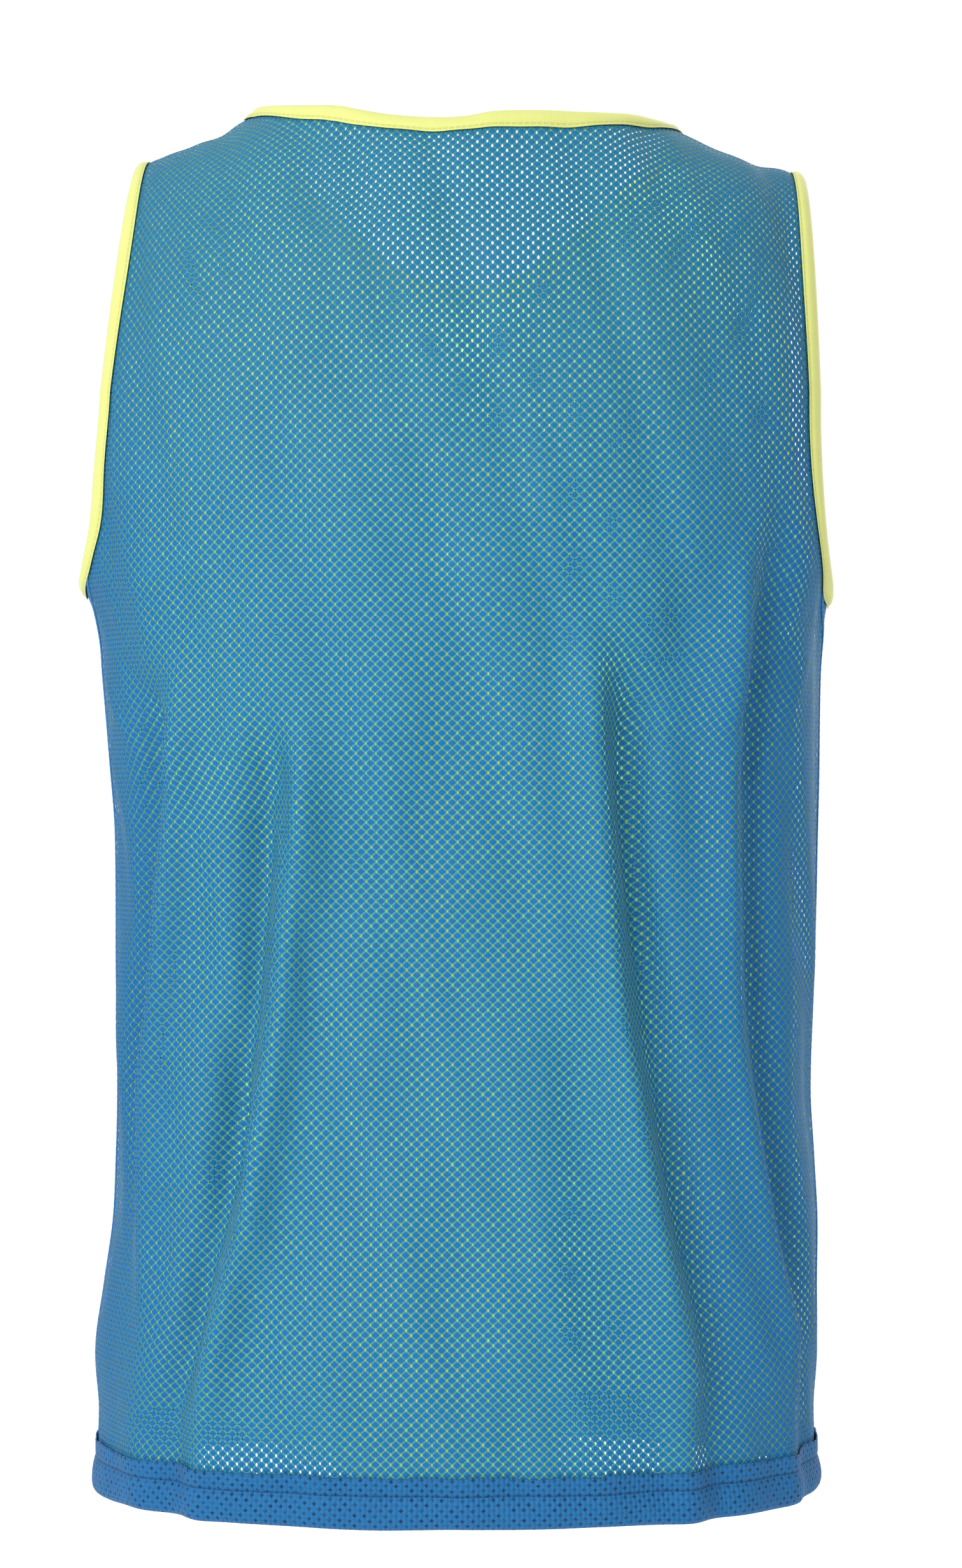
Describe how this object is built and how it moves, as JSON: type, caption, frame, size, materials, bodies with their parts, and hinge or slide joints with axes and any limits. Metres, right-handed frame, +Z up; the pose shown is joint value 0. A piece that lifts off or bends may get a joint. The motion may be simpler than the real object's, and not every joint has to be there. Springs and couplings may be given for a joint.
{
  "type": "reversible mesh training bib",
  "caption": "Sleeveless reversible mesh training bib as worn, hollow: blue net over yellow net, lemon bound neck and armholes, blue hem band.",
  "frame": {"origin": "midway between the two neck points of the shoulder seams, where the wearer's shoulders hold the bib up", "axes": "+Z up, the back of the bib faces -Y and its front faces +Y, +X is the pictured right side"},
  "size_m": [0.3976, 0.2449, 0.7157],
  "materials": {
    "blue_net": "matte",
    "yellow_net": "matte",
    "lemon_tape": "matte",
    "blue_band": "matte"
  },
  "bodies": {
    "root": {"back_panel": "blue_net", "front_panel": "blue_net", "back_lining": "yellow_net", "front_lining": "yellow_net", "neck_binding": "lemon_tape", "armhole_binding_left": "lemon_tape", "armhole_binding_right": "lemon_tape", "hem_band_back": "blue_band", "hem_band_front": "blue_band"}
  },
  "joints": []
}
